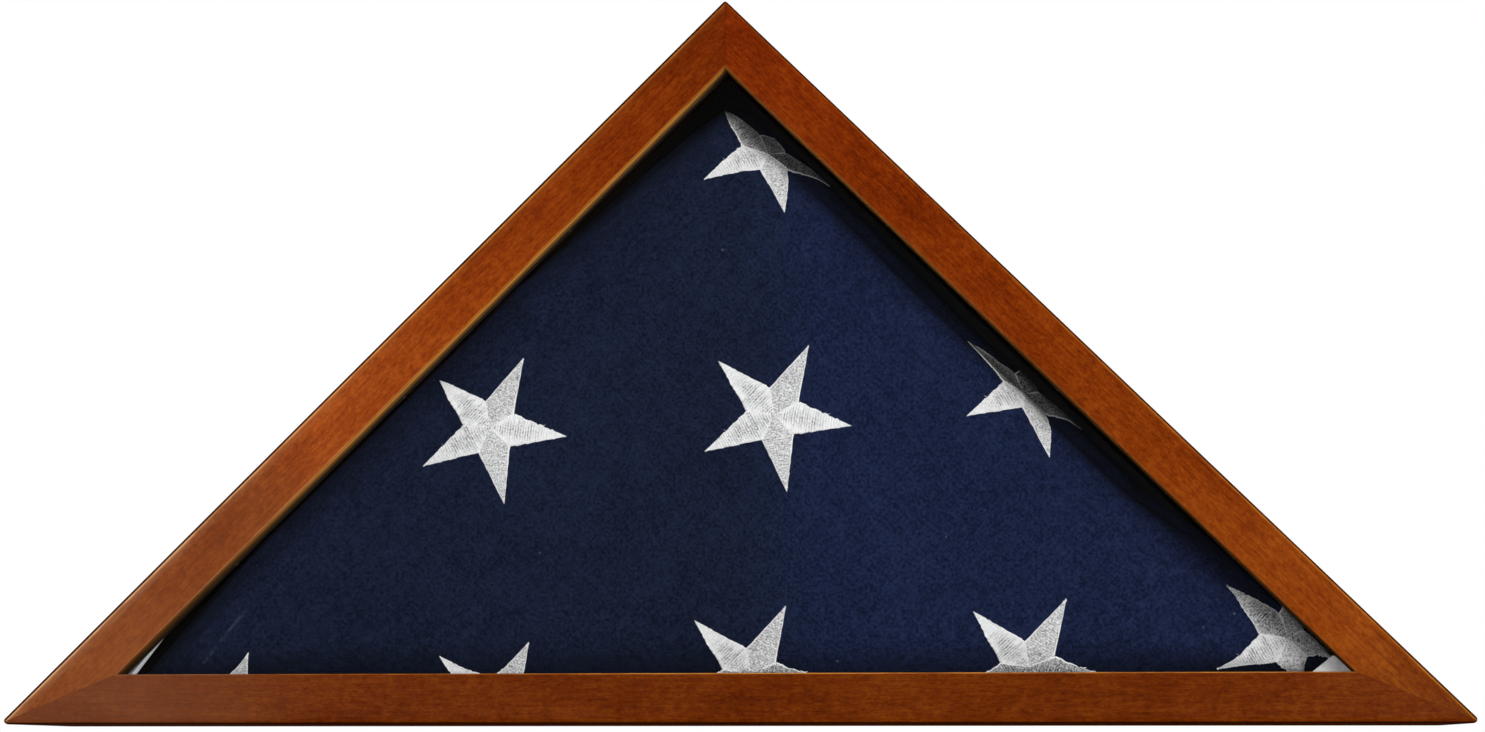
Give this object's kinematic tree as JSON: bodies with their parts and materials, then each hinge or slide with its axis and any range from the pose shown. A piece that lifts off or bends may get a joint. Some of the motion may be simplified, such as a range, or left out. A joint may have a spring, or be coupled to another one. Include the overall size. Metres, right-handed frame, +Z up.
{
  "type": "folded flag display case",
  "caption": "Triangular wooden display case with a glazed front, mitred rails and a lift-out back held by turn buttons, holding a folded starred flag.",
  "frame": {"origin": "centre of the base face of the bottom rail, on the surface that the case stands on", "axes": "+X to the right along the base as seen from the front, +Y from the glass to the back, +Z up to the apex"},
  "size_m": [0.643, 0.0927, 0.3233],
  "materials": {
    "stained_wood": "red-brown stain under a satin lacquer",
    "bead_wood": "stained, unpolished",
    "spline_wood": "raw birch plywood",
    "steel_pin": "bright wire",
    "zinc_steel": "zinc plated",
    "brass_plate": "brass plated",
    "clear_glass": "clear float glass",
    "navy_cotton": "plain woven navy cotton",
    "white_thread": "satin-stitch embroidery thread",
    "black_felt": "short felt",
    "brown_hardboard": "bare hardboard"
  },
  "bodies": {
    "case": {"bottom_rail": "stained_wood", "bottom_glass_bead": "bead_wood", "bottom_brad_1": "steel_pin", "bottom_brad_2": "steel_pin", "bottom_brad_3": "steel_pin", "bottom_washer_1": "zinc_steel", "bottom_pivot_screw_1": "zinc_steel", "bottom_washer_2": "zinc_steel", "bottom_pivot_screw_2": "zinc_steel", "right_rail": "stained_wood", "right_glass_bead": "bead_wood", "right_brad_1": "steel_pin", "right_brad_2": "steel_pin", "right_brad_3": "steel_pin", "right_washer_1": "zinc_steel", "right_pivot_screw_1": "zinc_steel", "right_washer_2": "zinc_steel", "right_pivot_screw_2": "zinc_steel", "left_rail": "stained_wood", "left_glass_bead": "bead_wood", "left_brad_1": "steel_pin", "left_brad_2": "steel_pin", "left_brad_3": "steel_pin", "left_washer_1": "zinc_steel", "left_pivot_screw_1": "zinc_steel", "left_washer_2": "zinc_steel", "left_pivot_screw_2": "zinc_steel", "apex_spline": "spline_wood", "left_spline": "spline_wood", "right_spline": "spline_wood", "middle_star": "white_thread", "left_star": "white_thread", "right_star": "white_thread", "top_star": "white_thread", "low_left_star": "white_thread", "low_middle_star": "white_thread", "low_right_star": "white_thread", "corner_right_star": "white_thread", "glass_pane": "clear_glass", "folded_flag": "navy_cotton"},
    "back": {"back_panel": "brown_hardboard", "felt_lining": "black_felt", "sawtooth_hanger": "zinc_steel", "left_hanger_screw": "zinc_steel", "right_hanger_screw": "zinc_steel"},
    "bottom_turn_button_1": {"bottom_turn_button_1": "brass_plate"},
    "bottom_turn_button_2": {"bottom_turn_button_2": "brass_plate"},
    "right_turn_button_1": {"right_turn_button_1": "brass_plate"},
    "right_turn_button_2": {"right_turn_button_2": "brass_plate"},
    "left_turn_button_1": {"left_turn_button_1": "brass_plate"},
    "left_turn_button_2": {"left_turn_button_2": "brass_plate"}
  },
  "joints": [
    {"name": "back_lift_out", "type": "slide", "parent": "case", "child": "back", "axis": [0, 1, 0], "range_m": [0, 0.15]},
    {"name": "bottom_turn_button_1_swing", "type": "hinge", "parent": "case", "child": "bottom_turn_button_1", "pos_m": [-0.1296, 0.0449, 0.005], "axis": [0, 1, 0], "continuous": true},
    {"name": "bottom_turn_button_2_swing", "type": "hinge", "parent": "case", "child": "bottom_turn_button_2", "pos_m": [0.1296, 0.0449, 0.005], "axis": [0, 1, 0], "continuous": true},
    {"name": "right_turn_button_1_swing", "type": "hinge", "parent": "case", "child": "right_turn_button_1", "pos_m": [0.22326, 0.0449, 0.09366], "axis": [0, 1, 0], "continuous": true},
    {"name": "right_turn_button_2_swing", "type": "hinge", "parent": "case", "child": "right_turn_button_2", "pos_m": [0.09366, 0.0449, 0.22326], "axis": [0, 1, 0], "continuous": true},
    {"name": "left_turn_button_1_swing", "type": "hinge", "parent": "case", "child": "left_turn_button_1", "pos_m": [-0.09366, 0.0449, 0.22326], "axis": [0, 1, 0], "continuous": true},
    {"name": "left_turn_button_2_swing", "type": "hinge", "parent": "case", "child": "left_turn_button_2", "pos_m": [-0.22326, 0.0449, 0.09366], "axis": [0, 1, 0], "continuous": true}
  ]
}
